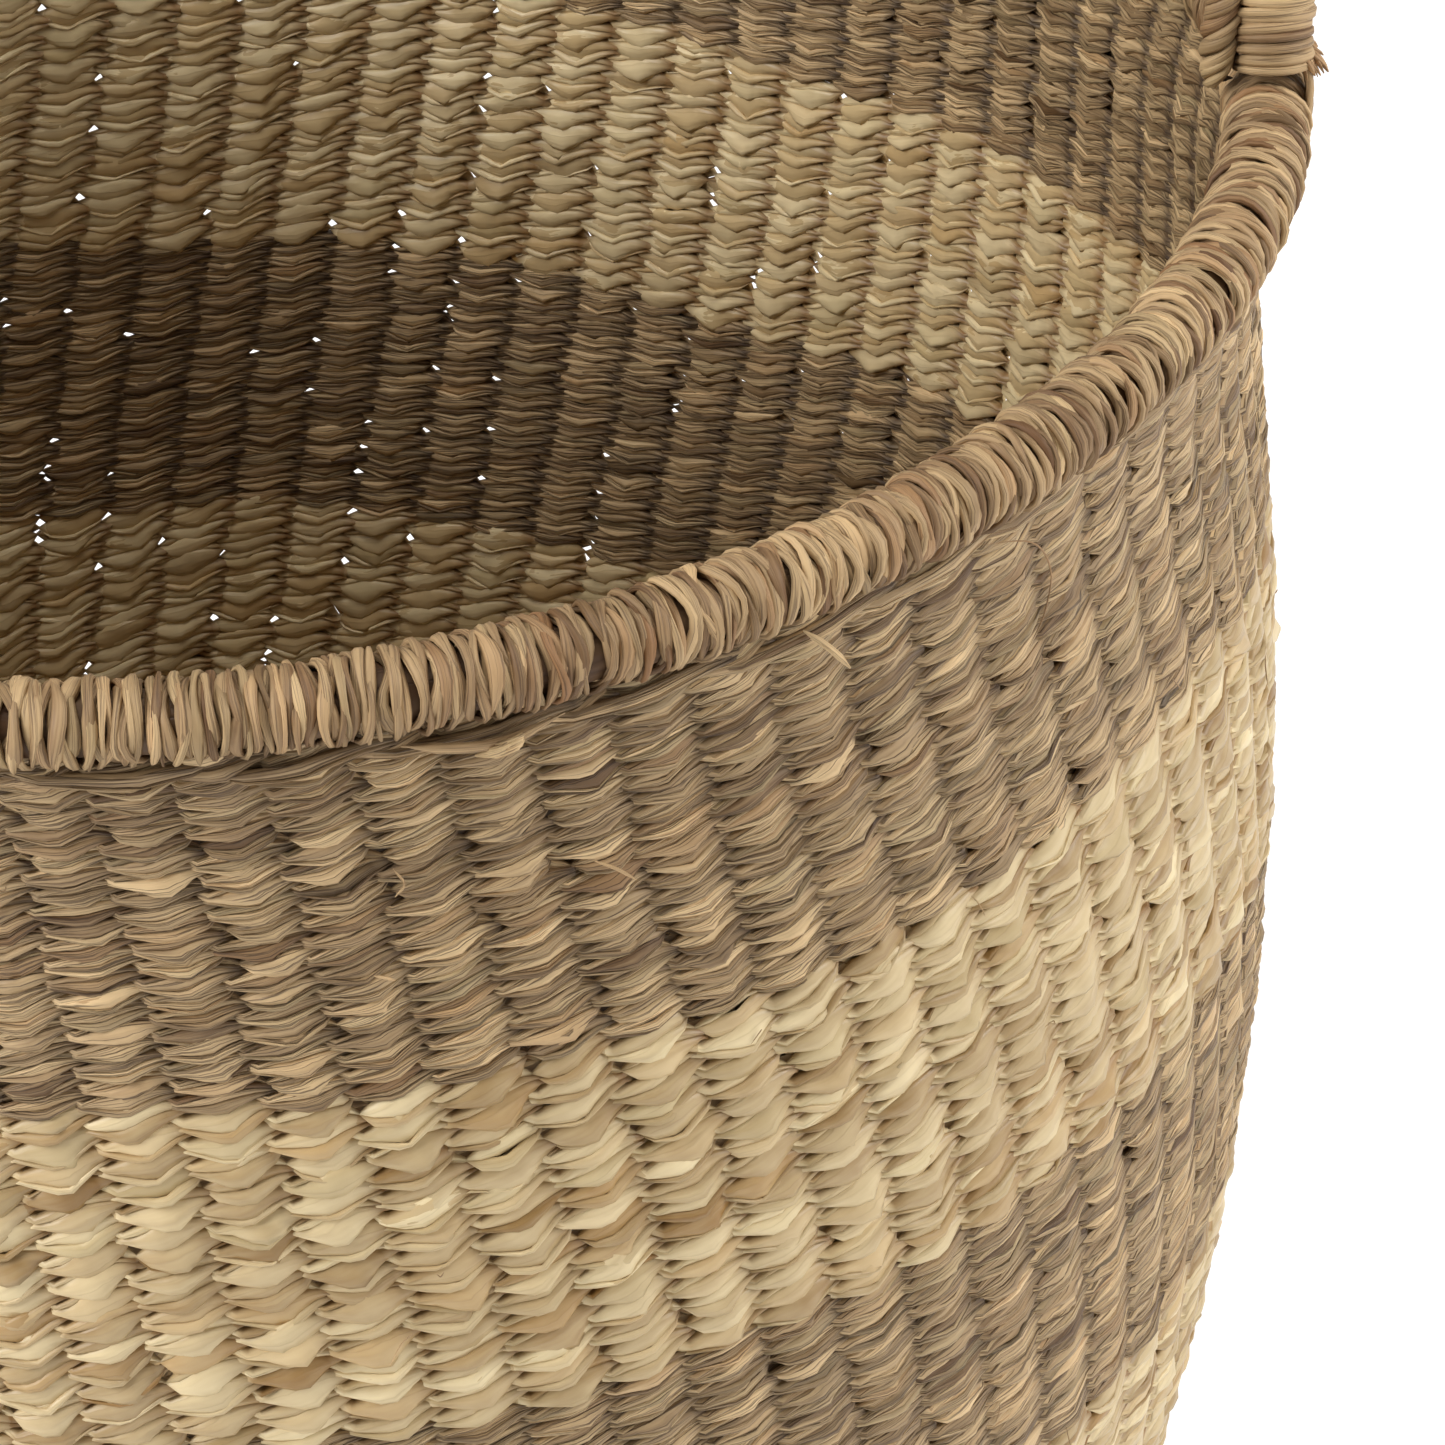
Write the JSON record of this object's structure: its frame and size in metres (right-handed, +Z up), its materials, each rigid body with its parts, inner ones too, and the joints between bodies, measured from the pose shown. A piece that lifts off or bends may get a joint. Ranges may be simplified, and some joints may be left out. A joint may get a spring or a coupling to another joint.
{
  "type": "storage basket",
  "caption": "Round open storage basket, twined from natural and pale plant strands in wide bands, with a bound rim and two upright loop handles.",
  "frame": {"origin": "on the floor, under the middle of the base", "axes": "+Z up; +X towards one handle, -X towards the other"},
  "size_m": [0.442, 0.442, 0.4694],
  "materials": {
    "natural_seagrass": "matt dried grass strands, grey-brown to straw, in slanted twined stitches",
    "pale_leaf": "smooth cream dried leaf strips with a soft gloss, amber in the gaps",
    "rim_seagrass": "matt grass strands wound close together, slightly warm brown",
    "rattan_core": "plain cane, satin"
  },
  "bodies": {
    "root": {"base_centre": "natural_seagrass", "base_inner_rounds": "natural_seagrass", "base_outer_rounds": "natural_seagrass", "base_corner": "natural_seagrass", "band_natural_bottom": "natural_seagrass", "band_natural_middle": "natural_seagrass", "band_natural_top": "natural_seagrass", "band_pale_lower": "pale_leaf", "band_pale_upper": "pale_leaf", "rim_hoop": "rattan_core", "rim_binding": "rim_seagrass", "handle_right_outer_core": "rattan_core", "handle_right_inner_core": "rattan_core", "handle_right_binding": "rim_seagrass", "handle_right_lashing_a": "rim_seagrass", "handle_right_lashing_b": "rim_seagrass", "handle_left_outer_core": "rattan_core", "handle_left_inner_core": "rattan_core", "handle_left_binding": "rim_seagrass", "handle_left_lashing_a": "rim_seagrass", "handle_left_lashing_b": "rim_seagrass"}
  },
  "joints": []
}
